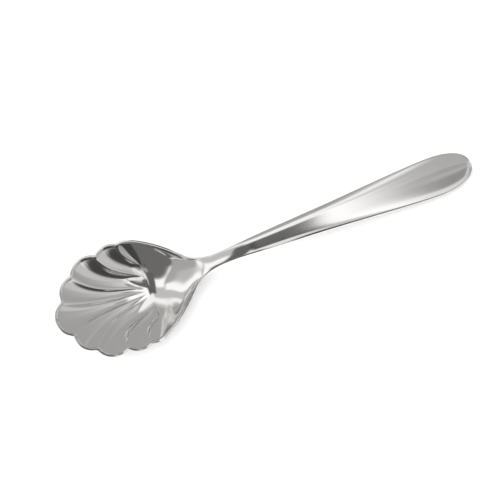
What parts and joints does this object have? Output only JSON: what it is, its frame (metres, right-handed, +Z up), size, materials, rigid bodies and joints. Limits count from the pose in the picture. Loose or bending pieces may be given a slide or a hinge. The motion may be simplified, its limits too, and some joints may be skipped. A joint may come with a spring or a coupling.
{
  "type": "sugar spoon",
  "caption": "Small polished steel spoon with a fluted shell-shaped bowl, a slender neck and a flat tapering handle with a rounded end, for serving sugar.",
  "frame": {"origin": "middle of the spoon's box, on the table that it lies on", "axes": "+X along the spoon from the bowl to the handle, +Z up, hollow of the bowl upwards"},
  "size_m": [0.1258, 0.032, 0.0123],
  "materials": {
    "polished_steel": "mirror-polished stainless steel"
  },
  "bodies": {
    "root": {"bowl": "polished_steel", "handle": "polished_steel"}
  },
  "joints": []
}
